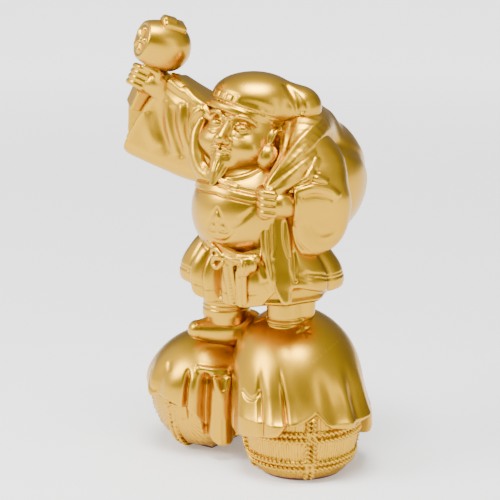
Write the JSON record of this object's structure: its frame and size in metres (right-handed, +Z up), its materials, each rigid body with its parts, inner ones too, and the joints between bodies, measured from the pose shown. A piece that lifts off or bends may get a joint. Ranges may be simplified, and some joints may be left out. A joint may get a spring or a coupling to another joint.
{
  "type": "fortune god figurine",
  "caption": "Satin gold-plated cast figurine of a stout fortune god with a raised mallet and a sack, standing on cloth-draped straw rice bales.",
  "frame": {"origin": "centre of the whole part's box at the floor, under the figure's stance", "axes": "+Z up, the figure faces -Y, its left hand is on +X"},
  "size_m": [0.1173, 0.0925, 0.1965],
  "materials": {
    "gold_plate": "satin bead-blasted gold plate over cast metal",
    "raw_brass": "plain rolled sheet",
    "felt": "short dense felt",
    "steel": "plain machined"
  },
  "bodies": {
    "root": {"torso": "gold_plate", "head": "gold_plate", "hat": "gold_plate", "right_sleeve": "gold_plate", "right_hand": "gold_plate", "mallet_head": "gold_plate", "mallet_handle": "gold_plate", "left_sleeve": "gold_plate", "left_hand": "gold_plate", "sack": "gold_plate", "coat_skirt": "gold_plate", "sash_bow": "gold_plate", "right_trouser_leg": "gold_plate", "left_trouser_leg": "gold_plate", "right_shoe": "gold_plate", "right_bale": "gold_plate", "left_bale": "gold_plate", "right_bale_cloth": "gold_plate", "left_bale_cloth": "gold_plate", "right_base_plate": "raw_brass", "left_base_plate": "raw_brass", "right_felt_pad": "felt", "left_felt_pad": "felt", "foot_screws": "steel", "hip_screws": "steel", "base_plate_screws": "steel", "neck_dowel": "steel", "shoulder_dowels": "steel", "sack_screw": "steel"}
  },
  "joints": []
}
